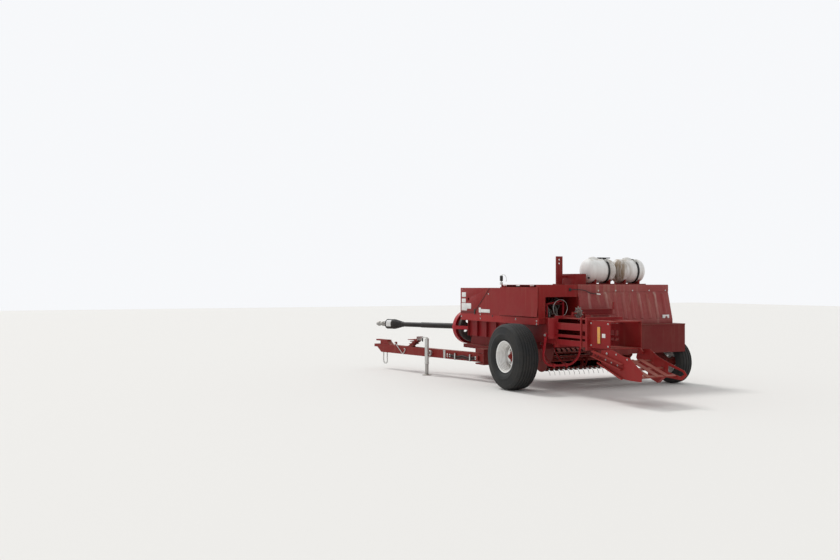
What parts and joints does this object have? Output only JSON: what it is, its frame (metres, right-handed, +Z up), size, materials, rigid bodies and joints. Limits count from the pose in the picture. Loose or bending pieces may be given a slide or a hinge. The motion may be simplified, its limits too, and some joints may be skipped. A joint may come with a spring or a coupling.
{
  "type": "small square baler",
  "caption": "Towed small square baler with a swinging tongue, bale chamber, tined pickup, twine box, rear bale chute and liquid tanks on top.",
  "frame": {"origin": "on the ground, below the middle of the machine's box", "axes": "+X to the front, the way it is towed; +Y to its left; +Z up"},
  "size_m": [6.7758, 3.2706, 1.97],
  "materials": {
    "red_paint": "weathered enamel",
    "bright_red_paint": "enamel",
    "bare_steel": "worn",
    "cast_iron": "worn",
    "zinc_steel": "zinc plated",
    "silver_paint": "silver paint",
    "tyre_rubber": "dusty",
    "hose_rubber": "satin",
    "tank_plastic": "translucent white, dirty",
    "black_plastic": "dull",
    "amber_reflector": "glossy",
    "white_plate": "bare plate"
  },
  "bodies": {
    "frame": {"main_frame": "red_paint", "bale_chamber": "red_paint", "tension_rails": "red_paint", "end_frame": "red_paint", "plunger": "bare_steel", "gearbox": "red_paint", "front_shield": "red_paint", "side_skirt": "red_paint", "twine_box": "red_paint", "rear_wall": "red_paint", "feeder_housing": "red_paint", "feeder_floor": "red_paint", "rear_box": "red_paint", "feeder_tines": "bare_steel", "feeder_drive": "red_paint", "knotter_frame": "red_paint", "knotters": "cast_iron", "cross_beam": "red_paint", "tank_cradle": "red_paint", "tank_inner": "tank_plastic", "tank_outer": "tank_plastic", "tank_straps": "black_plastic", "flywheel_guard": "bright_red_paint"},
    "left_wheel": {"left_tyre": "tyre_rubber", "left_rim": "silver_paint"},
    "right_wheel": {"right_tyre": "tyre_rubber", "right_rim": "silver_paint"},
    "pickup": {"pickup_frame": "red_paint", "pickup_strippers": "red_paint", "wind_guard": "red_paint"},
    "pickup_reel": {"pickup_reel": "bare_steel"},
    "gauge_wheel": {"gauge_wheel": "tyre_rubber"},
    "flywheel": {"flywheel": "cast_iron"},
    "driveline": {"driveline_guard": "black_plastic"},
    "pto_shaft": {"pto_shaft": "bare_steel"},
    "needles": {"needle_yoke": "bright_red_paint"},
    "measuring_wheel": {"measuring_wheel": "bare_steel"},
    "chute": {"chute_floor": "red_paint", "chute_left": "red_paint", "chute_right": "red_paint"},
    "tongue": {"tongue_beam": "red_paint", "shaft_support": "red_paint", "hydraulic_hoses": "hose_rubber", "safety_chain": "zinc_steel"},
    "jack": {"jack": "bare_steel"},
    "twine_door": {"twine_door": "red_paint"}
  },
  "joints": [
    {"name": "left_wheel_spin", "type": "hinge", "parent": "frame", "child": "left_wheel", "pos_m": [-0.7761, 1.23417, 0.485], "axis": [0, 1, 0], "continuous": true},
    {"name": "right_wheel_spin", "type": "hinge", "parent": "frame", "child": "right_wheel", "pos_m": [-1.0761, -1.51583, 0.34], "axis": [0, 1, 0], "continuous": true},
    {"name": "pickup_lift", "type": "hinge", "parent": "frame", "child": "pickup", "pos_m": [-0.3461, -0.57783, 0.6], "axis": [0, -1, 0], "range_deg": [0, 14]},
    {"name": "pickup_reel_spin", "type": "hinge", "parent": "pickup", "child": "pickup_reel", "pos_m": [0.0239, -0.57783, 0.335], "axis": [0, 1, 0], "continuous": true},
    {"name": "gauge_wheel_spin", "type": "hinge", "parent": "pickup", "child": "gauge_wheel", "pos_m": [0.0489, -1.44283, 0.21], "axis": [0, 1, 0], "continuous": true},
    {"name": "flywheel_spin", "type": "hinge", "parent": "frame", "child": "flywheel", "pos_m": [1.4139, 0.67917, 0.812], "axis": [1, 0, 0], "continuous": true},
    {"name": "tongue_swing", "type": "hinge", "parent": "frame", "child": "tongue", "pos_m": [0.4239, 1.01417, 0.372], "axis": [0, 0, 1], "range_deg": [-30, 0]},
    {"name": "driveline_swing", "type": "hinge", "parent": "frame", "child": "driveline", "pos_m": [1.6739, 0.67917, 0.812], "axis": [0, 0, 1], "range_deg": [-48, 0]},
    {"name": "pto_spin", "type": "hinge", "parent": "driveline", "child": "pto_shaft", "pos_m": [1.6739, 0.67917, 0.812], "axis": [0.8813, 0.4726, 0], "continuous": true},
    {"name": "needle_swing", "type": "hinge", "parent": "frame", "child": "needles", "pos_m": [-1.1961, 0.61417, 0.81], "axis": [0, -1, 0], "range_deg": [0, 55]},
    {"name": "measuring_wheel_spin", "type": "hinge", "parent": "frame", "child": "measuring_wheel", "pos_m": [-1.5361, 0.61417, 1.13], "axis": [0, 1, 0], "continuous": true},
    {"name": "chute_fold", "type": "hinge", "parent": "frame", "child": "chute", "pos_m": [-2.5761, 0.61417, 0.64], "axis": [0, 1, 0], "range_deg": [0, 85]},
    {"name": "jack_swing", "type": "hinge", "parent": "tongue", "child": "jack", "pos_m": [1.67312, 1.40409, 0.372], "axis": [-0.1864, 0.9825, 0], "range_deg": [0, 90]},
    {"name": "twine_door_swing", "type": "hinge", "parent": "frame", "child": "twine_door", "pos_m": [-0.6031, 1.02817, 1.52], "axis": [1, 0, 0], "range_deg": [0, 80]}
  ],
  "couplings": [
    {"joint": "driveline_swing", "follows": "tongue_swing", "ratio": 1.6},
    {"joint": "pto_spin", "follows": "flywheel_spin", "ratio": 1}
  ]
}
